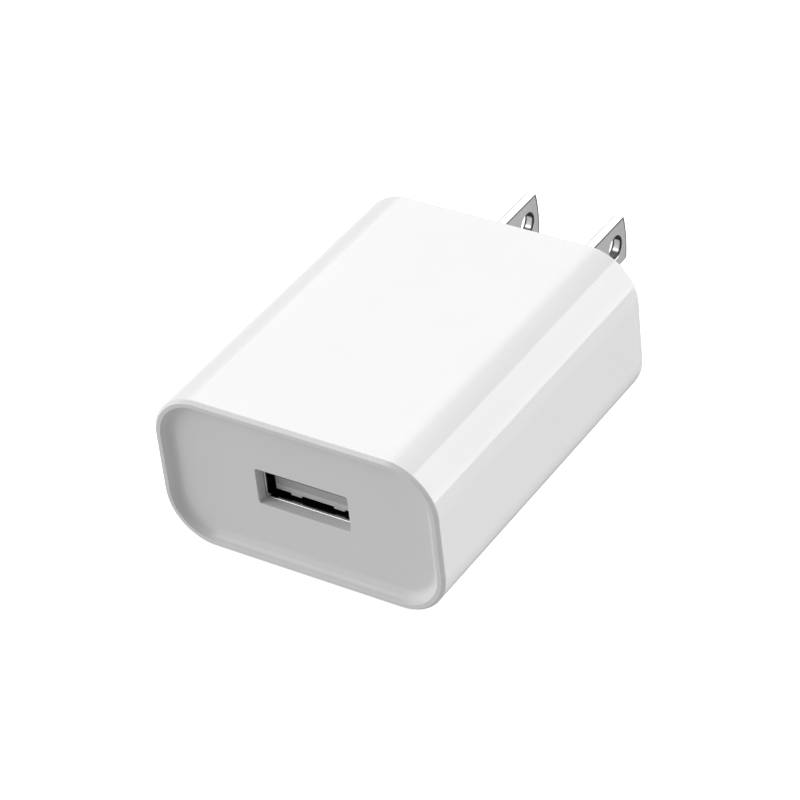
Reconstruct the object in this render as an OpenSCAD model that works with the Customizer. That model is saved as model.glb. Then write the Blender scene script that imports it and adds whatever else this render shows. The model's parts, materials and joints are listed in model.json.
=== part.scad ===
// USB wall charger with two fixed flat blades and one USB-A port.
// The origin is midway between the blades, on the flat rear face of the case.
// +Y runs out along the blades, +Z is up, +X is across. All sizes are in millimetres.

/* [Case] */
// Width of the case, across the blades
case_w = 38.5; // [37:0.1:42]
// Height of the case
case_h = 21.1; // [20.5:0.1:24]
// Length of the case, from the front rim to the rear face
case_l = 46.35; // [45:0.05:54]
// Radius of the four long corners
case_r = 6.5; // [5.5:0.1:7.5]
// Thickness of the case walls
wall = 1.7; // [1.5:0.1:1.9]
// How far the blades sit below the middle of the case
blade_drop = 1.1; // [0.8:0.1:1.2]

/* [Front cover] */
// Thickness of the cover's lip, in front of the seam
lip_t = 0.38; // [0.38:0.02:0.6]
// Width of the hairline gap at the seam
seam = 0.06; // [0.05:0.01:0.12]
// Width of the flat rim outside the dished panel
rim_w = 0.92; // [0.6:0.02:1.2]
// Width of the sloping wall of the dish
dish_w = 1.3; // [0.8:0.1:1.4]
// Depth of the dished panel below the rim
dish_d = 1.25; // [0.5:0.05:1.3]
// Thickness of the panel around the port
panel_t = 1.45; // [1.2:0.05:1.8]

/* [Blades] */
// Distance between the middles of the blades
blade_pitch = 12.7; // [12.6:0.05:12.8]
// Width of a blade
blade_w = 6.1; // [6.1:0.05:6.6]
// Thickness of a blade
blade_t = 1.4; // [1.4:0.01:1.6]
// Length of a blade beyond the rear face
blade_l = 18.2; // [16:0.1:18.2]
// Diameter of the hole near the tip
blade_hole_d = 3.1; // [3:0.05:3.3]
// Distance from the rear face to the middle of the hole
blade_hole_y = 15.3; // [11:0.1:15.4]

/* [USB port] */
// Width of the window in the cover
window_w = 12.6; // [12.6:0.1:13]
// Height of the window in the cover
window_h = 5.0; // [5:0.1:5.2]
// Width of the mouth inside the metal shell
mouth_w = 12.5; // [12.4:0.05:12.5]
// Height of the mouth inside the metal shell
mouth_h = 5.12; // [5.02:0.02:5.22]
// Length of the receptacle's metal shell
port_l = 13.8; // [13:0.1:14.5]
// Width of the tongue that carries the contacts
tongue_w = 11.1; // [11:0.05:11.2]
// Thickness of the tongue
tongue_t = 1.84; // [1.8:0.01:1.9]

/* [Circuit] */
// Thickness of the circuit board
board_t = 1.2; // [1:0.1:1.2]
// Width of the circuit board
board_w = 33.8; // [33.4:0.1:34.2]
// Length of the circuit board
board_l = 37.4; // [36.8:0.1:37.6]
// Diameter of the input and output capacitors
cap_d = 8.0; // [6.3:0.1:8]

/* [Hidden] */
$fn = 48;
eps = 0.01;

// Case
mid_z = blade_drop;
front_y = -case_l;
top_in = mid_z + case_h/2 - wall;
side_in = case_w/2 - wall;
step_t = 0.6;                      // thickness of the outer lip on the shell's open end
step_d = 1.4;                      // how far that lip stands forward
edge_c = 0.34;                     // chamfer around the cover's front edge
shell_y = front_y + lip_t + seam;  // front end of the shell
boss_t = 1.8;                      // thickening of the rear wall around each blade
rib_t = 1.0;                       // guide ribs that hold the board's edges
rib_in = 1.3;

// Port
panel_y = front_y + dish_d;
panel_back = panel_y + panel_t;
port_z = mid_z - 0.1;
sheet = 0.3;
port_y = panel_back + 0.05;
port_back = port_y + port_l;
tongue_y = panel_y + 2.56;
tongue_top = port_z - 0.06;
tongue_bot = tongue_top - tongue_t;
block_y = port_back - 3.2;         // front of the block that the tongue grows from
contact_x = [-3.5, -1.0, 1.0, 3.5];
contact_w = 1.0;
contact_t = 0.25;
slot_w = 1.4;
slot_d = 1.3;
hinge_y = block_y - 0.9;
hinge_z = tongue_top - 0.15;
bump_h = 0.35;
data_back = 1.0;                   // the data contacts mate after the power contacts
rib_x = [-2.8, 3.1];               // ribs under the tongue's front end
rib_w = 1.45;
rib_h = 0.3;
rib_l = 1.8;
finger_x = 3.0;                    // spring fingers of the receptacle's shell
finger_w = 1.5;
finger_y0 = port_y + 3.2;
finger_y1 = port_y + 9.0;
tab_y = [port_y + 3.4, port_y + 10.2];
tab_l = 1.6;

// Board
board_z0 = port_z + mouth_h/2 + sheet + 0.05;
board_z1 = board_z0 + board_t;
board_y0 = panel_back + 2.55;
board_y1 = board_y0 + board_l;
solder_h = 0.8;
lead_d = 0.6;

// Blades inside the case
tang_y = -7.4;
tang_w = 4.2;

// Transformer, wound round a core along Y
core_x = 13.0;
core_y = 12.4;
core_z = 6.0;
core_leg = 1.5;
core_mid = 2.8;
xf_y = -19.9;
xf_z = board_z0 - 5.6;
flange_x = 9.6;
flange_z = 10.6;
flange_t = 0.6;
flange_y = 4.0;
coil_x = 8.6;
coil_z = 9.8;
coil_r = 1.95;
tube_x = 4.1;
tube_z = 7.3;
rail_l = 2.6;
rail_h = 2.2;
pin_pitch = 2.5;

// Places of the loose parts under the board: [x, y]
in_cap_l = 12.0;
in_cap_x = 12.1;
in_cap_y = -23.4;
in_cap_z = board_z0 - cap_d/2 - 0.2;
out_cap_h = 10.0;
out_cap_at = [11.2, -35.4];
bias_cap_at = [12.6, -5.2];
bias_cap_d = 5;
bias_cap_h = 7;
choke_at = [-12.4, -5.6];
choke_d = 6;
choke_h = 8;
fuse_at = [0, -7.2];
fuse_pitch = 2.6;
fuse_d = 3.2;
fuse_l = 8.0;
fuse_low = board_z0 - 10.4;        // where its lower lead turns back up to the board
safety_cap_at = [-12.2, -28.6];
safety_cap_d = 7;
safety_cap_t = 2.6;

// ---- shared shapes ----

// A rounded rectangle in the XY plane, made of true arcs.
module rounded(w, h, r) {
    square([w - 2*r, h], center = true);
    square([w, h - 2*r], center = true);
    for (x = [-1, 1], y = [-1, 1])
        translate([x*(w/2 - r), y*(h/2 - r)]) circle(r);
}

// A bar along Y with a rounded section, centred on the case.
module case_bar(inset, y0, y1) {
    translate([0, y1, mid_z]) rotate([90, 0, 0])
        linear_extrude(y1 - y0) rounded(case_w - 2*inset, case_h - 2*inset, case_r - inset);
}

// A box from its lowest corner to its highest corner.
module span(a, b) {
    translate(a) cube(b - a);
}

// A box centred on x, between two Y values and two Z values.
module slab(x, w, y0, y1, z0, z1) {
    span([x - w/2, y0, z0], [x + w/2, y1, z1]);
}

// A cylinder along Y.
module rod_y(x, z, r, y0, y1) {
    translate([x, y1, z]) rotate([90, 0, 0]) cylinder(r = r, h = y1 - y0);
}

// A cylinder along Z.
module rod_z(x, y, r, z0, z1) {
    translate([x, y, z0]) cylinder(r = r, h = z1 - z0);
}

// Sweeps a profile around the case's outline. Its first coordinate is the distance in from the
// outer face, and its second is Y.
module around_case(points) {
    profile = [for (p = points) [case_r - p[0], p[1]]];
    w = case_w - 2*case_r;
    h = case_h - 2*case_r;
    translate([0, 0, mid_z]) rotate([90, 0, 0]) mirror([0, 0, 1]) {
        for (k = [0 : 3])
            translate([(k == 0 || k == 3 ? 1 : -1)*w/2, (k < 2 ? 1 : -1)*h/2, 0])
                rotate([0, 0, 90*k]) rotate_extrude(angle = 90) polygon(profile);
        for (s = [0, 180]) rotate([0, 0, s]) {
            translate([w/2, h/2, 0]) rotate([90, 0, 0]) linear_extrude(h) polygon(profile);
            translate([-w/2, h/2, 0]) rotate([90, 0, 90]) linear_extrude(w) polygon(profile);
        }
    }
}

// ---- case ----

// The moulded sleeve with its closed rear wall, blade slots and board guides.
module shell() {
    color("white") difference() {
        union() {
            difference() {
                case_bar(0, shell_y, 0);
                case_bar(wall, shell_y - 1, -wall);
                case_bar(step_t, shell_y - 1, shell_y + step_d);
            }
            for (s = [-1, 1]) {
                slab(s*blade_pitch/2, blade_t + 3, -wall - boss_t, -wall + eps,
                     -blade_w/2 - 1.6, blade_w/2 + 1.6);
                board_guide(s, board_z0 - 0.05 - rib_t);
                board_guide(s, board_z1 + 0.05);
            }
        }
        for (s = [-1, 1])
            slab(s*blade_pitch/2, blade_t, -wall - boss_t - 1, 1, -blade_w/2, blade_w/2);
    }
}

// One rib along a side wall.
module board_guide(side, z) {
    x0 = side_in - rib_in;
    slab(side*(x0 + rib_in/2 + 0.1), rib_in + 0.2, board_y0, -wall + eps, z, z + rib_t);
}

// The dished front cover with its port window, skirt and port collar.
module front_cover() {
    flange_in = step_t + 0.05;
    inset = rim_w + dish_w;
    dish = [for (a = [0 : 15 : 90]) [rim_w + dish_w*(1 - cos(a)), front_y + dish_d*sin(a)]];
    color("white") difference() {
        union() {
            around_case(concat(
                [[case_r - 1, panel_back], [wall + 0.05, panel_back], [wall + 0.05, shell_y + step_d],
                 [flange_in, shell_y + step_d], [flange_in, shell_y - seam], [0, shell_y - seam],
                 [0, front_y + edge_c], [edge_c, front_y]],
                dish, [[case_r - 1, panel_y]]));
            case_bar(inset + 0.5, panel_y, panel_back);
            difference() {
                case_bar(wall + 0.05, panel_back - eps, panel_back + 1.9);
                case_bar(wall + 1.05, panel_back - 1, panel_back + 3);
            }
            slab(0, mouth_w + 2*sheet + 1.8, panel_back - eps, panel_back + 1.6,
                 port_z - mouth_h/2 - sheet - 0.9, board_z0 - 0.1);
        }
        slab(0, window_w, front_y - 1, panel_back + 3, port_z - window_h/2, port_z + window_h/2);
        slab(0, mouth_w + 2*sheet + 0.1, panel_back, panel_back + 3,
             port_z - mouth_h/2 - sheet - 0.05, board_z0);
    }
}

// ---- mains blades ----

// One stamped flat blade, drilled near its tip, with a narrower tang inside the case.
module blade(side) {
    tip_r = (blade_w*blade_w/4 + 0.3*0.3)/(2*0.3);
    color("silver") difference() {
        union() {
            translate([side*blade_pitch/2 - blade_t/2, 0, 0]) rotate([90, 0, 90])
                linear_extrude(blade_t) intersection() {
                    translate([-wall - boss_t - 0.6, -blade_w/2])
                        square([blade_l + wall + boss_t + 0.6, blade_w]);
                    translate([blade_l - tip_r, 0]) circle(tip_r, $fn = 200);
                }
            slab(side*blade_pitch/2, blade_t, tang_y, -wall - boss_t, -tang_w/2, tang_w/2);
        }
        translate([side*blade_pitch/2 - blade_t, blade_hole_y, 0]) rotate([0, 90, 0])
            cylinder(d = blade_hole_d, h = 2*blade_t);
    }
}

module line_blade() {
    blade(-1);
}

module neutral_blade() {
    blade(1);
}

// A two-leaf spring clip that hangs from the board and grips a blade's tang.
module clip(side) {
    x = side*blade_pitch/2;
    leaf = 0.3;
    grip = blade_t/2;
    color("gold") {
        for (s = [-1, 1]) {
            translate([x, tang_y + 0.4, 0]) linear_extrude(board_z0 - 0.5)
                polygon([[s*grip, 0.9], [s*(grip + leaf), 0.9], [s*(grip + leaf), 1.5],
                         [s*(grip + 0.7 + leaf), 3.0], [s*(grip + 0.7), 3.0], [s*grip, 1.6]]);
            translate([x, tang_y + 0.4, 0]) mirror([0, 0, 1]) linear_extrude(1.8)
                polygon([[s*grip, 0.9], [s*(grip + leaf), 0.9], [s*(grip + leaf), 1.5],
                         [s*(grip + 0.7 + leaf), 3.0], [s*(grip + 0.7), 3.0], [s*grip, 1.6]]);
        }
        slab(x, 2*grip + 2*leaf, tang_y + 1.3, tang_y + 1.9, board_z0 - 0.5, board_z0 - 0.2);
        slab(x, 0.5, tang_y + 1.3, tang_y + 1.9, board_z0 - 0.3, board_z1 + solder_h);
    }
}

module line_clip() {
    clip(-1);
}

module neutral_clip() {
    clip(1);
}

// ---- circuit board ----

module circuit_board() {
    color("darkgreen") difference() {
        slab(0, board_w, board_y0, board_y1, board_z0, board_z1);
        for (s = [-1, 1])
            slab(s*blade_pitch/2, 0.6, tang_y + 1.25, tang_y + 1.95, board_z0 - 1, board_z1 + 1);
        for (s = [-1, 1], y = tab_y)
            slab(s*(mouth_w + sheet)/2, sheet + 0.2, y - 0.1, y + tab_l + 0.1,
                 board_z0 - 1, board_z1 + 1);
        // slot that separates the mains side from the low voltage side
        slab(-4.5, 7, xf_y - 0.6, xf_y + 0.6, board_z0 - 1, board_z1 + 1);
        for (p = lead_holes())
            rod_z(p[0], p[1], lead_d/2 + 0.05, board_z0 - 1, board_z1 + 1);
    }
}

// Every lead or pin that passes through the board: [x, y].
function pin_places() = [
    for (s = [-1, 1], k = [-1.5 : 1 : 1.5]) [k*pin_pitch, xf_y + s*(flange_y + rail_l - 0.9)]
];
function lead_places() = concat(
    [for (s = [-1, 1], d = [-1, 1]) [s*in_cap_x + d*1.75, in_cap_y + in_cap_l + 1.6]],
    [for (d = [-1, 1]) [out_cap_at[0] + d*1.75, out_cap_at[1]]],
    [for (d = [-1, 1]) [bias_cap_at[0] + d, bias_cap_at[1]]],
    [for (d = [-1, 1]) [choke_at[0] + d*2, choke_at[1]]],
    [for (k = [0, 1]) [fuse_at[0] + k*fuse_pitch, fuse_at[1]]],
    [for (d = [-1, 1]) [safety_cap_at[0] + d*2.5, safety_cap_at[1]]]
);
function tail_places() = [for (x = contact_x) [x, port_back + 1.2]];
function lead_holes() = concat(pin_places(), lead_places(), tail_places());

// ---- USB port ----

// The folded sheet-metal shell, with board tabs and the spring fingers cut out of it.
module usb_shell() {
    w = mouth_w + 2*sheet;
    h = mouth_h + 2*sheet;
    color("silver") {
        difference() {
            union() {
                difference() {
                    port_bar(w, h, 0.9, port_y, port_back);
                    port_bar(mouth_w, mouth_h, 0.6, port_y - 1, port_back + 1);
                }
                for (s = [-1, 1], y = tab_y)
                    slab(s*(w - sheet)/2, sheet, y, y + tab_l, port_z, board_z1 + 0.5);
            }
            for (x = [-finger_x, finger_x], z = [-1, 1])
                slab(x, finger_w + 0.4, finger_y0 - 0.3, finger_y1, port_z + z*h/2 - 0.5,
                     port_z + z*h/2 + 0.5);
        }
        for (x = [-finger_x, finger_x], z = [-1, 1])
            finger(x, port_z + z*mouth_h/2, -z);
    }
}

// A rounded bar along Y, centred on the port.
module port_bar(w, h, r, y0, y1) {
    translate([0, y1, port_z]) rotate([90, 0, 0]) linear_extrude(y1 - y0) rounded(w, h, r);
}

// One finger: it leaves the plane of the sheet at its rear end and bows into the mouth.
module finger(x, z, dir) {
    l = finger_y1 - finger_y0;
    bow = 0.4;
    rise = [for (t = [0 : 0.1 : 1]) [finger_y0 + t*l, bow*sin(180*pow(1 - t, 0.8))]];
    fall = [for (i = [10 : -1 : 0]) rise[i] - [0, sheet]];
    translate([x - finger_w/2, 0, z]) rotate([90, 0, 90]) linear_extrude(finger_w)
        polygon([for (p = concat(rise, fall)) [p[0] + (p[0] > finger_y1 - eps ? eps : 0), dir*p[1]]]);
}

// The moulded block and tongue.
module usb_insulator() {
    color("white") difference() {
        union() {
            slab(0, tongue_w, tongue_y, block_y + eps, tongue_bot, tongue_top);
            port_bar(mouth_w - 0.1, mouth_h - 0.1, 0.55, block_y, port_back + 0.03);
            slab(0, mouth_w - 0.1, port_back + 0.02, port_back + 2.0, port_z - 0.2, board_z0 - 0.1);
            for (x = rib_x)
                slab(x, rib_w, tongue_y, tongue_y + rib_l, tongue_bot - rib_h, tongue_bot + eps);
        }
        for (x = contact_x) {
            slab(x, slot_w, tongue_y + 0.5, hinge_y + 0.6, tongue_top - slot_d, tongue_top + 1);
            slab(x, contact_w, hinge_y + 0.2, port_back + 1.2 + contact_t/2,
                 hinge_z - contact_t/2, hinge_z + contact_t/2);
            slab(x, contact_w, port_back + 1.2 - contact_t/2, port_back + 1.2 + contact_t/2,
                 hinge_z - contact_t/2, board_z0);
        }
    }
}

// The fixed ends of the four contacts, from the spring's root to the board.
module usb_contact_tails() {
    y_up = port_back + 1.2;
    color("gold") for (x = contact_x) {
        slab(x, contact_w, hinge_y + 0.2, y_up + contact_t/2, hinge_z - contact_t/2,
             hinge_z + contact_t/2);
        slab(x, contact_w, y_up - contact_t/2, y_up + contact_t/2, hinge_z - contact_t/2,
             board_z0 - 0.4);
        slab(x, 0.4, y_up - contact_t/2, y_up + contact_t/2, board_z0 - 0.5, board_z1 + solder_h);
    }
}

// The springy end of one contact: a beam that rises to a rounded touch point near its tip.
module contact_spring(x) {
    tip = tongue_y + 0.75 + (abs(x) < 2 ? data_back : 0);
    bump = tip + 1.5;
    half = contact_t/2;
    rise = tongue_top + bump_h - hinge_z - half;
    top = [[hinge_y + 0.1, half], [bump + 0.5, rise + half], [bump - 0.2, rise + half],
           [tip, half - 0.1]];
    low = [[tip, -half - 0.1], [bump - 0.2, rise - half], [bump + 0.5, rise - half],
           [hinge_y + 0.1, -half]];
    color("gold") translate([x - contact_w/2, 0, hinge_z]) rotate([90, 0, 90])
        linear_extrude(contact_w) polygon(concat(top, low));
}

module power_contact() {
    contact_spring(contact_x[3]);
}

module data_minus_contact() {
    contact_spring(contact_x[2]);
}

module data_plus_contact() {
    contact_spring(contact_x[1]);
}

module ground_contact() {
    contact_spring(contact_x[0]);
}

// ---- transformer ----

module transformer_bobbin() {
    color("black") difference() {
        union() {
            slab(0, tube_x, xf_y - flange_y, xf_y + flange_y, xf_z - tube_z/2, xf_z + tube_z/2);
            for (s = [-1, 1]) {
                slab(0, flange_x, xf_y + s*flange_y - flange_t/2, xf_y + s*flange_y + flange_t/2,
                     xf_z - flange_z/2, xf_z + flange_z/2);
                slab(0, core_x - 1, xf_y + s*(flange_y + rail_l/2) - rail_l/2,
                     xf_y + s*(flange_y + rail_l/2) + rail_l/2,
                     board_z0 - 0.2 - rail_h, board_z0 - 0.2);
            }
        }
        slab(0, core_mid + 0.2, xf_y - 9, xf_y + 9, xf_z - core_z/2 - 0.1, xf_z + core_z/2 + 0.1);
        for (p = pin_places())
            rod_z(p[0], p[1], lead_d/2, board_z0 - 2, board_z0 + 1);
    }
}

module transformer_winding() {
    color("peru") coil_block(coil_x, coil_z, tube_x, tube_z, flange_y - flange_t/2);
}

module transformer_tape() {
    color("gold") coil_block(coil_x + 0.3, coil_z + 0.3, coil_x, coil_z, flange_y - flange_t/2 - 0.3);
}

// A rounded block round the transformer's axis, with a rectangular or rounded hole.
module coil_block(w, h, hole_w, hole_h, half_l) {
    translate([0, xf_y + half_l, xf_z]) rotate([90, 0, 0]) linear_extrude(2*half_l) difference() {
        rounded(w, h, coil_r);
        if (hole_w > tube_x) rounded(hole_w, hole_h, coil_r - 0.15);
        else square([hole_w, hole_h], center = true);
    }
}

// One E-shaped half of the ferrite core.
module core_half(side) {
    back = core_leg + 0.1;
    y_in = core_y/2 - back;
    color("dimgray") translate([0, xf_y, 0]) {
        y0 = side > 0 ? y_in : -core_y/2;
        slab(0, core_x, y0, y0 + back, xf_z - core_z/2, xf_z + core_z/2);
        leg0 = side > 0 ? 0.02 : -y_in - eps;
        leg1 = side > 0 ? y_in + eps : -0.02;
        slab(0, core_mid, leg0, leg1, xf_z - core_z/2, xf_z + core_z/2);
        for (s = [-1, 1])
            slab(s*(core_x - core_leg)/2, core_leg, leg0, leg1, xf_z - core_z/2, xf_z + core_z/2);
    }
}

module transformer_core_front() {
    core_half(-1);
}

module transformer_core_rear() {
    core_half(1);
}

module transformer_pins() {
    color("silver") for (p = pin_places())
        rod_z(p[0], p[1], lead_d/2, board_z0 - 1.8, board_z1 + solder_h);
}

// ---- capacitors, choke and resistor ----

// A can along +Z from the origin, with a crimped groove near its sealed end.
module can(d, h) {
    difference() {
        cylinder(d = d, h = h);
        translate([0, 0, 1.2]) difference() {
            cylinder(d = d + 1, h = 0.7);
            cylinder(d = d - 0.7, h = 0.7);
        }
        translate([0, 0, -1]) cylinder(d = d - 1.4, h = 1.8);
    }
}

module left_input_capacitor() {
    color("dimgray") input_can(-1);
}

module right_input_capacitor() {
    color("dimgray") input_can(1);
}

module input_can(side) {
    translate([side*in_cap_x, in_cap_y + in_cap_l, in_cap_z]) rotate([90, 0, 0]) can(cap_d, in_cap_l);
}

module output_capacitor() {
    color("darkslategray") translate([out_cap_at[0], out_cap_at[1], board_z0 - 0.3])
        mirror([0, 0, 1]) can(cap_d, out_cap_h);
}

module bias_capacitor() {
    color("darkslategray") translate([bias_cap_at[0], bias_cap_at[1], board_z0 - 0.3])
        mirror([0, 0, 1]) can(bias_cap_d, bias_cap_h);
}

// The rubber bungs that close the open ends of the cans.
module capacitor_seals() {
    color("black") {
        for (s = [-1, 1]) difference() {
            rod_y(s*in_cap_x, in_cap_z, cap_d/2 - 0.7, in_cap_y + in_cap_l - 0.8,
                  in_cap_y + in_cap_l + 0.1);
            for (d = [-1, 1])
                rod_y(s*in_cap_x + d*1.75, in_cap_z, lead_d/2, in_cap_y, in_cap_y + in_cap_l + 1);
        }
        upright_seal(out_cap_at, cap_d, 1.75);
        upright_seal(bias_cap_at, bias_cap_d, 1);
    }
}

module upright_seal(at, d, half_pitch) {
    difference() {
        rod_z(at[0], at[1], d/2 - 0.7, board_z0 - 1.1, board_z0 - 0.2);
        for (s = [-1, 1])
            rod_z(at[0] + s*half_pitch, at[1], lead_d/2, board_z0 - 2, board_z0 + 1);
    }
}

// The ferrite drum of the input choke: two flanges on a thin core.
module input_choke_core() {
    top = board_z0 - 0.3;
    color("dimgray") {
        rod_z(choke_at[0], choke_at[1], choke_d/2, top - 1.2, top);
        rod_z(choke_at[0], choke_at[1], choke_d/2, top - choke_h, top - choke_h + 1.2);
        rod_z(choke_at[0], choke_at[1], 1.4, top - choke_h + 1, top - 1);
    }
}

module input_choke_winding() {
    top = board_z0 - 0.3;
    color("peru") difference() {
        rod_z(choke_at[0], choke_at[1], choke_d/2 - 0.35, top - choke_h + 1.25, top - 1.25);
        rod_z(choke_at[0], choke_at[1], 1.4, top - choke_h, top);
    }
}

module fusible_resistor() {
    z1 = board_z0 - 1.2;
    color("steelblue") {
        rod_z(fuse_at[0], fuse_at[1], fuse_d/2 - 0.25, z1 - fuse_l, z1);
        for (z = [z1 - fuse_l + 0.2, z1 - 1.8])
            rod_z(fuse_at[0], fuse_at[1], fuse_d/2, z, z + 1.6);
    }
}

// The disc capacitor that bridges the mains and low voltage sides.
module safety_capacitor() {
    color("royalblue") {
        translate([safety_cap_at[0], safety_cap_at[1] + safety_cap_t/2,
                   board_z0 - safety_cap_d/2 - 1.2])
            rotate([90, 0, 0]) cylinder(d = safety_cap_d, h = safety_cap_t);
        for (s = [-1, 1])
            rod_z(safety_cap_at[0] + s*2.5, safety_cap_at[1], 0.55, board_z0 - 3.2, board_z0 - 0.4);
    }
}

// ---- parts on the solder side ----

// A moulded chip package with gull-wing legs along both X sides.
module chip(x, y, w, l, h, legs) {
    z = board_z1;
    slab(x, w, y - l/2, y + l/2, z + 0.12, z + h);
    pitch = l/legs;
    for (s = [-1, 1], k = [0 : legs - 1])
        span([x + s*(w/2 + 0.4) - 0.45, y - l/2 + (k + 0.5)*pitch - 0.2, z],
             [x + s*(w/2 + 0.4) + 0.45, y - l/2 + (k + 0.5)*pitch + 0.2, z + 0.22]);
}

module bridge_rectifier() {
    color("black") chip(-10.4, -14.4, 3.9, 4.7, 2.4, 2);
}

module control_chip() {
    color("black") chip(6.2, -10.6, 3.9, 4.9, 1.6, 4);
}

module output_rectifier() {
    color("black") chip(-13.0, -35.4, 4.4, 2.7, 2.2, 1);
}

module snubber_diode() {
    color("black") chip(12.0, -16.6, 3.4, 1.8, 1.2, 1);
}

// Small chip parts: [x, y, turned].
function resistor_places() = [
    [-4.2, -10.6, 0], [-4.2, -12.4, 0], [10.6, -12.4, 1], [12.6, -12.4, 1], [8.0, -16.8, 0],
    [-2.0, -30.6, 1], [9.6, -38.6, 0], [-8.4, -35.2, 0]
];
function capacitor_places() = [
    [-7.2, -10.2, 0], [0.6, -11.4, 1], [14.6, -21.4, 1], [-8.4, -37.4, 0]
];

module chip_resistors() {
    color("black") for (p = resistor_places()) small_chip(p, 0.5);
}

module chip_capacitors() {
    color("tan") for (p = capacitor_places()) small_chip(p, 0.8);
}

module small_chip(p, h) {
    size = p[2] == 1 ? [1.25, 2.0, h] : [2.0, 1.25, h];
    translate([p[0] - size[0]/2, p[1] - size[1]/2, board_z1]) cube(size);
}

// ---- leads, solder, insulation ----

module component_leads() {
    end = board_z1 + solder_h;
    r = lead_d/2;
    color("silver") {
        for (s = [-1, 1], d = [-1, 1]) {
            x = s*in_cap_x + d*1.75;
            y = in_cap_y + in_cap_l + 1.6;
            rod_y(x, in_cap_z, r, in_cap_y + in_cap_l - 0.8, y);
            translate([x, y, in_cap_z]) sphere(r);
            rod_z(x, y, r, in_cap_z, end);
        }
        for (d = [-1, 1]) {
            rod_z(out_cap_at[0] + d*1.75, out_cap_at[1], r, board_z0 - 1.1, end);
            rod_z(bias_cap_at[0] + d, bias_cap_at[1], r, board_z0 - 1.1, end);
            rod_z(choke_at[0] + d*2, choke_at[1], r, board_z0 - 0.3, end);
            rod_z(safety_cap_at[0] + d*2.5, safety_cap_at[1], r, board_z0 - 0.4, end);
        }
        rod_z(fuse_at[0], fuse_at[1], r, board_z0 - 1.2, end);
        rod_z(fuse_at[0] + fuse_pitch, fuse_at[1], r, fuse_low, end);
        rod_z(fuse_at[0], fuse_at[1], r, fuse_low, board_z0 - 1.2 - fuse_l);
        slab(fuse_at[0] + fuse_pitch/2, fuse_pitch, fuse_at[1] - 0.2, fuse_at[1] + 0.2,
             fuse_low, fuse_low + 0.4);
    }
}

module solder_joints() {
    color("lightgray") for (p = lead_holes())
        translate([p[0], p[1], board_z1]) difference() {
            cylinder(r1 = 0.95, r2 = 0.42, h = 0.65);
            cylinder(r = lead_d/2, h = 2);
        }
}

// The thin insulating sheet between the solder side and the case.
module insulating_sheet() {
    color("khaki") slab(0, 24, board_y0 + 0.6, -4.4, top_in - 0.2, top_in);
}

shell();
front_cover();
line_blade();
neutral_blade();
line_clip();
neutral_clip();
circuit_board();
usb_shell();
usb_insulator();
usb_contact_tails();
power_contact();
data_minus_contact();
data_plus_contact();
ground_contact();
transformer_bobbin();
transformer_winding();
transformer_tape();
transformer_core_front();
transformer_core_rear();
transformer_pins();
left_input_capacitor();
right_input_capacitor();
output_capacitor();
bias_capacitor();
capacitor_seals();
input_choke_core();
input_choke_winding();
fusible_resistor();
safety_capacitor();
bridge_rectifier();
control_chip();
output_rectifier();
snubber_diode();
chip_resistors();
chip_capacitors();
component_leads();
solder_joints();
insulating_sheet();
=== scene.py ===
import json
import math

import bmesh
import bpy
from mathutils import Matrix, Vector


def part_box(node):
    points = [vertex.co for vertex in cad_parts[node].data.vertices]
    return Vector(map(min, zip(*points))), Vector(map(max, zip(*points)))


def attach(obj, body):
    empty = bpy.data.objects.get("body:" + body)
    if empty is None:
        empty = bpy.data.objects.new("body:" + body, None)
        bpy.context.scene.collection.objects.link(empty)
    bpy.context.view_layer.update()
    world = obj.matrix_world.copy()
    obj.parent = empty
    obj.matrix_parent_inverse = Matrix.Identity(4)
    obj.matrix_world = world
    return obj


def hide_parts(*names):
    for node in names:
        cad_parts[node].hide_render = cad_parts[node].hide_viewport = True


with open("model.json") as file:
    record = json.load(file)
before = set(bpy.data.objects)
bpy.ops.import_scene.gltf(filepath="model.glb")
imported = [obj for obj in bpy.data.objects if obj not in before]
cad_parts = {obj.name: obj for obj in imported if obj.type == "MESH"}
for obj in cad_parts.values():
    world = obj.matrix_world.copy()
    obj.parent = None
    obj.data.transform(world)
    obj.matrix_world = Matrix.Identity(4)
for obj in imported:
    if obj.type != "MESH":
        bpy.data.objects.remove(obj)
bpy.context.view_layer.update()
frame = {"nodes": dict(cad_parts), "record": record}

# ---- The studio ----
# The charger lies on a plain white table under a large soft light, with one tall light panel
# behind it on the right, which gives the long corner its bright band. It casts no shadow.

MM = 0.001
case_low, case_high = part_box("shell")
cover_low, cover_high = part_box("front_cover")
case_centre = Vector((0, (cover_low.y + case_high.y) / 2, (case_low.z + case_high.z) / 2))
aim = Vector((0, -23 * MM, case_centre.z))

view_azimuth = math.radians(36.1)
view_height = math.radians(36.4)
view_roll = math.radians(-6.78)
view_distance = 401.3 * MM

back = Vector((
    math.sin(view_azimuth) * math.cos(view_height),
    -math.cos(view_azimuth) * math.cos(view_height),
    math.sin(view_height),
))
level = Vector((math.cos(view_azimuth), math.sin(view_azimuth), 0))
upright = back.cross(level)
across = level * math.cos(view_roll) + upright * math.sin(view_roll)
above = upright * math.cos(view_roll) - level * math.sin(view_roll)

camera = bpy.data.objects.new("camera", bpy.data.cameras.new("camera"))
camera.data.sensor_width = 36
camera.data.lens = 153
camera.data.clip_start = 0.01
camera.data.clip_end = 10
camera.matrix_world = Matrix((
    (across.x, above.x, back.x, 0),
    (across.y, above.y, back.y, 0),
    (across.z, above.z, back.z, 0),
    (0, 0, 0, 1),
))
camera.location = aim + back * view_distance - across * 0.58 * MM - above * 0.69 * MM
bpy.context.scene.collection.objects.link(camera)
bpy.context.scene.camera = camera
bpy.context.scene.view_settings.view_transform = "Standard"


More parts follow.
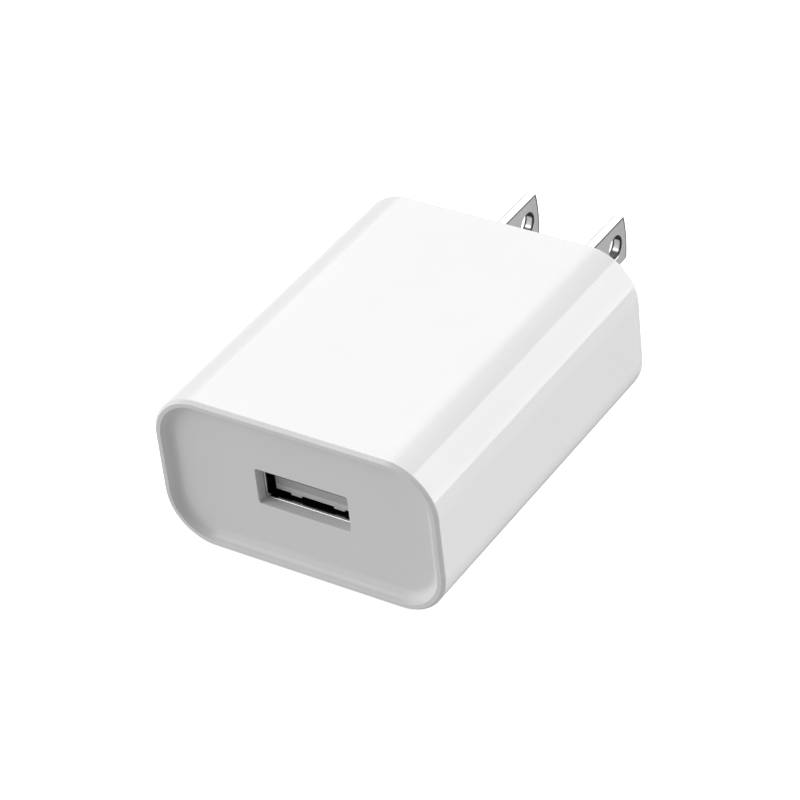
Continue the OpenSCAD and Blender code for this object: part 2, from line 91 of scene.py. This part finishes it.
class Socket:
    """An output in a node tree, which takes part in ordinary arithmetic."""

    def __init__(self, tree, output=None):
        self.tree = tree
        self.output = output

    def node(self, kind, settings=None, values=None, output=0):
        made = self.tree.nodes.new("ShaderNode" + kind)
        for name, setting in (settings or {}).items():
            if name == "stops":
                for place, colour in setting[2:]:
                    made.color_ramp.elements.new(place)
                for stop, (place, colour) in zip(made.color_ramp.elements, sorted(setting)):
                    stop.position = place
                    stop.color = colour
            else:
                setattr(made, name, setting)
        for name, value in (values or {}).items():
            socket = made.inputs[name]
            if isinstance(value, Socket):
                self.tree.links.new(value.output, socket)
            else:
                socket.default_value = value
        return Socket(self.tree, made.outputs[output]) if made.outputs else None

    def maths(self, operation, *values):
        return self.node("Math", {"operation": operation}, dict(enumerate(values)))

    def __add__(self, other):
        return self.maths("ADD", self, other)

    def __sub__(self, other):
        return self.maths("SUBTRACT", self, other)

    def __mul__(self, other):
        return self.maths("MULTIPLY", self, other)

    def __pow__(self, other):
        return self.maths("POWER", self, other)

    def __radd__(self, other):
        return self.maths("ADD", other, self)

    def __rsub__(self, other):
        return self.maths("SUBTRACT", other, self)

    def __rmul__(self, other):
        return self.maths("MULTIPLY", other, self)

    def step(self, start, end):
        """Rises smoothly from 0 at start to 1 at end."""
        ranges = {"interpolation_type": "SMOOTHSTEP"}
        return self.node("MapRange", ranges, {0: self, 1: start, 2: end, 3: 0.0, 4: 1.0})


def empty_tree(owner):
    """The cleared node tree of a material or of the world."""
    owner.use_nodes = True
    owner.node_tree.nodes.clear()
    return Socket(owner.node_tree)


def studio_light():
    """A light that depends on direction only: each term is one soft box or one wall of the room.

    The camera itself sees plain white behind the table in place of these lights.
    """
    world = bpy.data.worlds.new("studio")
    bpy.context.scene.world = world
    shader = empty_tree(world)
    direction = shader.node("TexCoord", output="Generated")
    x, y, z = (shader.node("SeparateXYZ", {}, {0: direction}, output=k) for k in range(3))

    def lobe(towards, power):
        towards = Vector(towards).normalized()
        facing = x * towards.x + y * towards.y + z * towards.z
        return facing.maths("MAXIMUM", facing, 0.0) ** power

    turn = x.maths("ARCTAN2", z, x)
    panel = (
        turn.step(math.radians(-12), math.radians(-11))
        * turn.step(math.radians(61), math.radians(60))
        * y.step(0.25, 0.35)
        * y.step(0.97, 0.93)
    )
    soft_box = (
        turn.step(math.radians(100), math.radians(120))
        * turn.step(math.radians(158), math.radians(138))
        * y.step(0.23, 0.47)
        * y.step(0.97, 0.93)
    )
    strength = (
        0.1
        + 0.25 * z.step(0.1, -0.2)
        + 2.74 * panel
        + 1.4 * soft_box
        + 1.74 * lobe((-0.5, 0.1, 0.85), 6)
        + 0.91 * lobe((-1, 0, 0.2), 4)
        + 0.46 * lobe((1, 0, 0.1), 4)
        + 0.21 * lobe((0.7, 0.3, -0.6), 4)
        + 0.17 * lobe((-0.4, -1, -0.3), 8)
        + 1.2 * lobe((-0.7, -0.7, 0.1), 8)
        + 2.6 * lobe((-0.47, -0.53, 0.7), 70)
        + 0.35 * lobe((-0.65, 0.6, -0.5), 14)
    )
    seen = shader.node("LightPath", output="Is Camera Ray")
    strength = strength * (1 - seen) + seen
    light = shader.node("Background", {}, {"Color": (1, 1, 1, 1), "Strength": strength})
    shader.node("OutputWorld", {}, {0: light})


studio_light()

table_low = case_low.z
bpy.ops.mesh.primitive_plane_add(size=6, location=(0, 0, table_low))
table_top = bpy.context.object
table_top.name = "table_top"
table_top.visible_diffuse = False
table_top.visible_glossy = False
table_top.visible_shadow = False
paint = bpy.data.materials.new("white_table")
shader = empty_tree(paint)
table_glow = shader.node("Emission", {}, {"Strength": 0.62})
table_paint = shader.node("BsdfDiffuse", {}, {"Color": (0.9, 0.9, 0.9, 1)})
shader.node("OutputMaterial", {}, {0: shader.node("AddShader", {}, {0: table_glow, 1: table_paint})})
table_top.data.materials.append(paint)

# ---- Case shell ----
# One deep polycarbonate moulding: a rounded sleeve, closed at the rear around the two blades.
# It is polished all over, and a thin outer lip at its open end meets the front cover.

case_width = case_high.x - case_low.x
case_height = case_high.z - case_low.z
case_corner = 6.5 * MM
case_wall = 1.7 * MM
seam_gap = 0.06 * MM
lip_thickness = 0.6 * MM
lip_depth = 1.4 * MM
rear_round = 0.45 * MM
blade_low, blade_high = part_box("line_blade")
blade_thick = blade_high.x - blade_low.x
blade_wide = blade_high.z - blade_low.z
blade_x = -(blade_low.x + blade_high.x) / 2


def ring(bm, width, height, corner, y, centre=(0, 0), segments=20):
    """A closed loop of edges, square to Y: a rectangle whose corners are bevelled to arcs."""
    cx, cz = centre
    signs = ((-1, -1), (1, -1), (1, 1), (-1, 1))
    corners = [bm.verts.new((cx + a * width / 2, y, cz + b * height / 2)) for a, b in signs]
    face = bm.faces.new(corners)
    if corner > 0:
        rounded = bmesh.ops.bevel(bm, geom=corners, offset=corner, offset_type="OFFSET",
                                  affect="VERTICES", segments=segments, profile=0.5, material=-1)
        face = rounded["verts"][0].link_faces[0]
    edges = list(face.edges)
    bmesh.ops.delete(bm, geom=[face], context="FACES_ONLY")
    return edges


def cap(bm, *loops):
    """A flat face inside the first loop, with the other loops as holes."""
    bmesh.ops.triangle_fill(bm, edges=[e for loop in loops for e in loop], use_dissolve=True)


def loft(bm, rings):
    """Walls between neighbouring rings. Each ring is a list of edges."""
    for first, second in zip(rings, rings[1:]):
        levels = [vert.co.y for edge in first + second for vert in edge.verts]
        if max(levels) - min(levels) < 1e-7:
            cap(bm, first, second)
        else:
            bmesh.ops.bridge_loops(bm, edges=first + second)


def quarter(radius):
    """Points along a quarter round, as (in from the side, down from the top)."""
    steps = 5
    turns = [math.pi / 2 * k / steps for k in range(steps + 1)]
    return [(radius * (1 - math.cos(t)), radius * (1 - math.sin(t))) for t in turns]


def block(bm, low, high):
    """A plain block between two corners, added to the mesh."""
    size = Vector(high) - Vector(low)
    place = Matrix.Translation(Vector(low) + size / 2) @ Matrix.Diagonal((*size, 1))
    bmesh.ops.create_cube(bm, size=1, matrix=place)


def finished(name, bm, material, body="charger", smooth_angle=35):
    """Turns the mesh into an object that rides on a body, with flat faces kept flat."""
    bmesh.ops.remove_doubles(bm, verts=bm.verts, dist=1e-7)
    bmesh.ops.recalc_face_normals(bm, faces=bm.faces)
    mesh = bpy.data.meshes.new(name)
    bm.to_mesh(mesh)
    bm.free()
    mesh.shade_smooth()
    mesh.set_sharp_from_angle(angle=math.radians(smooth_angle))
    made = bpy.data.objects.new(name, mesh)
    bpy.context.scene.collection.objects.link(made)
    weighted = made.modifiers.new("weighted", "WEIGHTED_NORMAL")
    weighted.keep_sharp = True
    mesh.materials.append(material)
    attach(made, body)
    return made


def plastic(name, white, roughness, grain, shaded=None):
    """Moulded plastic: faintly uneven in tone and shine, finely rippled, and painted greyer where shaded, as
    painted shade.
    """
    material = bpy.data.materials.new(name)
    shader = empty_tree(material)
    place = shader.node("TexCoord", output="Object")
    cloud = shader.node("TexNoise", {}, {"Vector": place, "Scale": 90.0, "Detail": 2.0})
    ripple = shader.node("TexNoise", {}, {"Vector": place, "Scale": grain, "Detail": 3.0})
    stops = [(0.3, (white * 0.985, white * 0.985, white * 0.985, 1)), (0.7, (white, white, white, 1))]
    tone = shader.node("ValToRGB", {"stops": stops}, {0: cloud})
    if shaded:
        x, y, z = (shader.node("SeparateXYZ", {}, {0: place}, output=k) for k in range(3))
        grey = (white * 0.6, white * 0.6, white * 0.6, 1)
        tone = shader.node("Mix", {"data_type": "RGBA"}, {0: shaded(x, y, z), 6: tone, 7: grey}, output=2)
    bump = shader.node("Bump", {}, {"Height": ripple, "Strength": 0.25, "Distance": 0.000004})
    surface = shader.node("BsdfPrincipled", {}, {
        "Base Color": tone,
        "Roughness": roughness + 0.02 * cloud,
        "IOR": 1.5,
        "Normal": bump,
    })
    shader.node("OutputMaterial", {}, {0: surface})
    return material


case_plastic = plastic("case_plastic", 0.86, 0.06, 1400.0)

lip_y = case_low.y
cavity_y = -case_wall
slots = [(side * blade_x, 0) for side in (-1, 1)]


def shell_ring(bm, inset, y):
    return ring(bm, case_width - 2 * inset, case_height - 2 * inset, case_corner - inset, y,
                (0, case_centre.z))


shell = bmesh.new()
shell_path = [(case_wall, cavity_y), (case_wall, lip_y + lip_depth), (lip_thickness, lip_y + lip_depth)]
shell_path += [(lip_thickness, lip_y), (0.05 * MM, lip_y), (0, lip_y + 0.05 * MM)]
shell_path += [(inset, -down) for inset, down in quarter(rear_round)]
shell_rings = [shell_ring(shell, inset, y) for inset, y in shell_path]
slot_rings = [
    [ring(shell, blade_thick, blade_wide, 0, y, place) for y in (cavity_y, case_high.y)]
    for place in slots
]
loft(shell, shell_rings)
for pair in slot_rings:
    loft(shell, pair)
cap(shell, shell_rings[0], *(pair[0] for pair in slot_rings))
cap(shell, shell_rings[-1], *(pair[1] for pair in slot_rings))

board_low, board_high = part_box("circuit_board")
rib_thick = 1.0 * MM
for side in (-1, 1):
    rib_edges = sorted((side * (case_width / 2 - case_wall - 1.3 * MM), side * (case_width / 2 - 1 * MM)))
    for rib_z in (board_low.z - rib_thick - 0.05 * MM, board_high.z + 0.05 * MM):
        block(shell, (rib_edges[0], board_low.y, rib_z), (rib_edges[1], cavity_y, rib_z + rib_thick))
shell_piece = finished("case_shell", shell, case_plastic)
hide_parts("shell")

# ---- Front cover ----
# A second moulding that caps the open end. Its thin lip lies flush with the shell behind a
# hairline seam, and the panel inside the rim is dished around the window for the port.

cover_plastic = plastic("cover_plastic", 0.84, 0.16, 1400.0)

front_y = cover_low.y
rim_chamfer = 0.34 * MM
rim_width = 0.92 * MM
dish_width = 1.3 * MM
dish_depth = 1.25 * MM
panel_y = front_y + dish_depth
panel_back = panel_y + 1.45 * MM
window_size = (12.6 * MM, 5.0 * MM)
window_centre = (0, case_centre.z - 0.1 * MM)
window_corner = 0.3 * MM

cover = bmesh.new()
skirt_out = case_wall + 0.05 * MM
skirt_in = case_wall + 1.05 * MM
cover_path = [
    (skirt_in, panel_back),
    (skirt_in, panel_back + 1.9 * MM),
    (skirt_out + 0.25 * MM, panel_back + 1.9 * MM),
    (skirt_out, panel_back + 1.6 * MM),
    (skirt_out, lip_y + lip_depth),
    (lip_thickness + 0.05 * MM, lip_y + lip_depth),
    (lip_thickness + 0.05 * MM, lip_y - seam_gap),
    (0.02 * MM, lip_y - seam_gap),
    (0, lip_y - seam_gap - 0.015 * MM),
    (0, front_y + rim_chamfer),
    (rim_chamfer, front_y),
]
edge_round = 0.1 * MM
dish_steps = 10
cover_path += [
    (rim_width - edge_round * (1 - math.cos(t)), front_y + edge_round * (1 - math.sin(t)))
    for t in (math.pi / 2, math.pi / 3, math.pi / 6)
]
for k in range(dish_steps + 1):
    turn = math.pi / 2 * k / dish_steps
    cover_path.append((
        rim_width + dish_width * (1 - math.cos(turn)),
        front_y + edge_round + (dish_depth - edge_round) * math.sin(turn),
    ))


def window_ring(bm, grow, y):
    width, height = window_size
    return ring(bm, width + 2 * grow, height + 2 * grow, window_corner + grow, y, window_centre, 6)


cover_rings = [shell_ring(cover, inset, y) for inset, y in cover_path]
window_round = 0.09 * MM
window_path = [
    (window_round * (1 - math.sin(t)), panel_y + window_round * (1 - math.cos(t)))
    for t in (0, math.pi / 6, math.pi / 3, math.pi / 2)
]
window_path.append((0, panel_back))
window_rings = [window_ring(cover, grow, y) for grow, y in window_path]
loft(cover, cover_rings)
loft(cover, window_rings)
cap(cover, cover_rings[-1], window_rings[0])
cap(cover, cover_rings[0], window_rings[-1])
cover_piece = finished("cover", cover, cover_plastic, smooth_angle=30)
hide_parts("front_cover")

# ---- Mains blades ----
# Two flat strips of nickel plated brass, stamped with a slightly rounded, bevelled tip and one
# round hole each, and moulded into the rear wall.


def metal(name, colour, roughness, stretch, dark=0.2, shaded=None):
    """Plated metal with fine drawn lines along the stretched direction, painted dark where shaded."""
    material = bpy.data.materials.new(name)
    shader = empty_tree(material)
    place = shader.node("TexCoord", output="Object")
    drawn = shader.node("Mapping", {}, {"Vector": place, "Scale": stretch})
    lines = shader.node("TexNoise", {}, {"Vector": drawn, "Scale": 900.0, "Detail": 4.0})
    cloud = shader.node("TexNoise", {}, {"Vector": place, "Scale": 260.0, "Detail": 2.0})
    darker = tuple(c * 0.93 for c in colour)
    stops = [(0.35, (*darker, 1)), (0.65, (*colour, 1))]
    tone = shader.node("ValToRGB", {"stops": stops}, {0: cloud})
    if shaded:
        x, y, z = (shader.node("SeparateXYZ", {}, {0: place}, output=k) for k in range(3))
        shade = (dark, dark, dark, 1)
        tone = shader.node("Mix", {"data_type": "RGBA"}, {0: shaded(x, y, z), 6: tone, 7: shade}, output=2)
    bump = shader.node("Bump", {}, {"Height": lines, "Strength": 0.3, "Distance": 0.000004})
    surface = shader.node("BsdfPrincipled", {}, {
        "Base Color": tone,
        "Metallic": 1.0,
        "Roughness": roughness + 0.12 * (lines - 0.5),
        "Normal": bump,
    })
    shader.node("OutputMaterial", {}, {0: surface})
    return material


blade_tip = blade_high.y
blade_hole = 1.55 * MM
blade_hole_y = 15.3 * MM
hole_rim = 0.12 * MM
tang_half = 2.1 * MM
shoulder_y = -3.5 * MM
tip_sagitta = 0.3 * MM
side_round = 0.12 * MM
tip_bevel = 0.42 * MM


def blade_shading(x, y, z):
    """Painted tones, not wear: dark hole walls, tips and long edges, and one bright patch per hole.

    They stand in for what a real blade reflects there, and were placed to suit one view.
    """
    half_wide = blade_wide / 2
    half_thick = blade_thick / 2
    off_axis = ((y - blade_hole_y) * (y - blade_hole_y) + z * z) ** 0.5
    depth = x.maths("ABSOLUTE", x, 0) - abs(blade_x)
    patch = (depth * depth).step((0.42 * MM) ** 2, (0.34 * MM) ** 2)
    patch = patch * z.step(0.25 * MM, 0) * z.step(-1.35 * MM, -1.1 * MM)
    wall = off_axis.step(blade_hole + 0.1 * MM, blade_hole + 0.06 * MM) * (1 - 0.8 * patch)
    from_tip = blade_tip - y - z * z * (tip_sagitta / (half_wide * half_wide))
    tip = from_tip.step(tip_bevel + 0.02 * MM, tip_bevel - 0.02 * MM)
    tip = tip * (z * z).step(half_wide * half_wide, (0.92 * half_wide) ** 2)
    side = (depth * depth).step((half_thick - 0.22 * MM) ** 2, (half_thick - 0.16 * MM) ** 2)
    edge = side * (z * z).step((half_wide - 0.12 * MM) ** 2, (half_wide - 0.06 * MM) ** 2)
    return wall + tip.maths("MAXIMUM", tip, 0.85 * edge)


plated_brass = metal("plated_brass", (0.86, 0.86, 0.86), 0.22, (1, 0.03, 1), dark=0.06, shaded=blade_shading)


def blade_loop(bm, x, side_inset, tip_inset):
    """The blade's outline at one depth of its thickness."""
    half = blade_wide / 2 - side_inset
    bow = (half * half + tip_sagitta * tip_sagitta) / (2 * tip_sagitta)
    tip = blade_tip - tip_inset
    lean = math.asin(half / bow)
    arc = [lean * (k / 6 - 1) for k in range(13)]
    points = [(tip - bow * (1 - math.cos(a)), bow * math.sin(a)) for a in arc]
    points += [(shoulder_y, half), (shoulder_y, tang_half - side_inset)]
    points += [(blade_low.y + side_inset, tang_half - side_inset)]
    points += [(y, -z) for y, z in reversed(points[-3:])]
    verts = [bm.verts.new((x, y, z)) for y, z in points]
    return [bm.edges.new(pair) for pair in zip(verts, verts[1:] + verts[:1])]


def hole_loop(bm, x, radius):
    place = Matrix.Translation((x, blade_hole_y, 0)) @ Matrix.Rotation(math.pi / 2, 4, "Y")
    verts = bmesh.ops.create_circle(bm, radius=radius, segments=64, matrix=place)["verts"]
    return list({e for v in verts for e in v.link_edges})


def blade(name, centre_x):
    bm = bmesh.new()
    depths = [(0, 1), (0.3, 0.3), (1, 0)]
    stations = [(side_round * d, side_round * s, tip_bevel * (1 - d)) for d, s in depths]
    half = blade_thick / 2
    left = [blade_loop(bm, centre_x - half + d, s, t) for d, s, t in stations]
    right = [blade_loop(bm, centre_x + half - d, s, t) for d, s, t in reversed(stations)]
    loft(bm, left + right)
    holes = [
        hole_loop(bm, centre_x + x, blade_hole + grow)
        for x, grow in ((-half, hole_rim), (hole_rim - half, 0), (half - hole_rim, 0), (half, hole_rim))
    ]
    loft(bm, holes)
    cap(bm, left[0], holes[0])
    cap(bm, right[-1], holes[-1])
    return finished(name, bm, plated_brass, smooth_angle=25)


for side, node in ((-1, "line_blade"), (1, "neutral_blade")):
    piece = blade(node + "_stamping", side * blade_x)
    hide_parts(node)

# ---- Port receptacle ----
# A folded shell of plated sheet with its edges rolled smooth, around a white moulded block
# whose tongue carries four gilt contact springs.


def eased(node, material, width, body="charger", angle=30, extra=None):
    """A copy of a CAD node with its sharp edges broken, as any real edge is."""
    bm = bmesh.new()
    bm.from_mesh(frame["nodes"][node].data)
    bmesh.ops.remove_doubles(bm, verts=bm.verts, dist=1e-6)
    bmesh.ops.dissolve_limit(bm, angle_limit=math.radians(1), verts=bm.verts, edges=bm.edges)
    if extra:
        extra(bm)
    piece = finished(node + "_piece", bm, material, body, angle)
    bevel = piece.modifiers.new("edges", "BEVEL")
    bevel.width = width
    bevel.segments = 2
    bevel.limit_method = "ANGLE"
    bevel.angle_limit = math.radians(angle)
    bevel.harden_normals = False
    piece.modifiers.move(1, 0)
    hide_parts(node)
    return piece


mouth_low, mouth_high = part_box("usb_shell")


def port_shadow(x, y, z):
    """Painted shade, not tarnish: stands in for the dark of the port, all the way back."""
    return y.step(mouth_low.y + 0.3 * MM, mouth_low.y + 0.55 * MM)


plated_sheet = metal("plated_sheet", (0.8, 0.8, 0.81), 0.18, (1, 0.1, 1), dark=0.06, shaded=port_shadow)


def tongue_shade(x, y, z):
    """Painted shade on the upper part of the tongue and at the deep end of the cavity."""
    deep = y.step(mouth_low.y + 1.5 * MM, mouth_low.y + 3 * MM)
    return deep.maths("MAXIMUM", deep, 0.85 * z.step(-0.25 * MM, -0.1 * MM))


insulator_plastic = plastic("insulator_plastic", 0.8, 0.4, 2200.0, shaded=tongue_shade)
gilt = metal("gilt_contacts", (0.9, 0.72, 0.38), 0.2, (1, 0.1, 1), shaded=port_shadow)

mouth_size = (12.5 * MM, 5.12 * MM)
mouth_corner = 0.5 * MM
sheet_edge = 0.02 * MM
bead_points = 12
bead = 0.14 * MM
bead_y = mouth_low.y + bead


def mouth_bead(bm):
    """The edge of the mouth, rolled to a smooth bead."""
    rings = []
    width, height = mouth_size
    for k in range(bead_points):
        turn = 2 * math.pi * k / bead_points
        grow = sheet_edge + bead * math.cos(turn)
        rings.append(ring(bm, width + 2 * grow, height + 2 * grow, mouth_corner + grow,
                          bead_y + bead * math.sin(turn), window_centre, 6))
    loft(bm, rings + rings[:1])


receptacle = eased("usb_shell", plated_sheet, 0.05 * MM, angle=50, extra=mouth_bead)
insulator = eased("usb_insulator", insulator_plastic, 0.06 * MM)
tails = eased("usb_contact_tails", gilt, 0.03 * MM)
for name in ("ground", "data_plus", "data_minus", "power"):
    spring = eased(name + "_contact", gilt, 0.03 * MM, name + "_spring")

# ---- Inside the case ----
# The board hangs from its guide ribs with the transformer, capacitors and choke below it and
# the chips on its solder side. None of it is seen while the case is closed.


def dull(name, colour, roughness, grain=1500.0, variation=0.85, metallic=0.0, coat=0.0):
    """Painted, moulded or fired material with a mottled tone."""
    material = bpy.data.materials.new(name)
    shader = empty_tree(material)
    place = shader.node("TexCoord", output="Object")
    speckle = shader.node("TexNoise", {}, {"Vector": place, "Scale": grain, "Detail": 4.0})
    low = tuple(c * variation for c in colour)
    stops = [(0.3, (*low, 1)), (0.7, (*colour, 1))]
    tone = shader.node("ValToRGB", {"stops": stops}, {0: speckle})
    bump = shader.node("Bump", {}, {"Height": speckle, "Strength": 0.3, "Distance": 0.00001})
    surface = shader.node("BsdfPrincipled", {}, {
        "Base Color": tone,
        "Metallic": metallic,
        "Roughness": roughness + 0.1 * speckle,
        "Coat Weight": coat,
        "Normal": bump,
    })
    shader.node("OutputMaterial", {}, {0: surface})
    return material


inner_finishes = {
    "spring_brass": metal("spring_brass", (0.75, 0.58, 0.32), 0.28, (1, 1, 0.1)),
    "board_laminate": dull("board_laminate", (0.05, 0.2, 0.08), 0.3, 700.0, 0.8, coat=0.4),
    "bobbin_plastic": dull("bobbin_plastic", (0.03, 0.03, 0.03), 0.5),
    "enamelled_wire": metal("enamelled_wire", (0.75, 0.35, 0.16), 0.25, (1, 0.05, 1)),
    "yellow_tape": dull("yellow_tape", (0.85, 0.62, 0.08), 0.25, 400.0, 0.93),
    "ferrite": dull("ferrite", (0.07, 0.07, 0.075), 0.6, 3000.0, 0.7),
    "tinned_wire": metal("tinned_wire", (0.75, 0.75, 0.76), 0.3, (1, 1, 0.1)),
    "capacitor_sleeve": dull("capacitor_sleeve", (0.02, 0.03, 0.06), 0.2, 500.0, 0.9, coat=0.3),
    "seal_rubber": dull("seal_rubber", (0.03, 0.03, 0.03), 0.7),
    "resistor_lacquer": dull("resistor_lacquer", (0.16, 0.3, 0.42), 0.25, 800.0, 0.9, coat=0.5),
    "blue_lacquer": dull("blue_lacquer", (0.03, 0.12, 0.45), 0.25, 800.0, 0.9, coat=0.5),
    "chip_moulding": dull("chip_moulding", (0.02, 0.02, 0.02), 0.45, 4000.0),
    "chip_ceramic": dull("chip_ceramic", (0.2, 0.15, 0.1), 0.4, 3000.0),
    "solder": metal("solder", (0.72, 0.72, 0.73), 0.3, (1, 1, 1)),
    "fish_paper": dull("fish_paper", (0.5, 0.42, 0.26), 0.75, 900.0, 0.9),
}

for part in frame["record"]["subparts"]:
    node, slot = part["node"], part["material_slot"]
    if slot in inner_finishes:
        mesh = frame["nodes"][node].data
        mesh.materials.clear()
        mesh.materials.append(inner_finishes[slot])
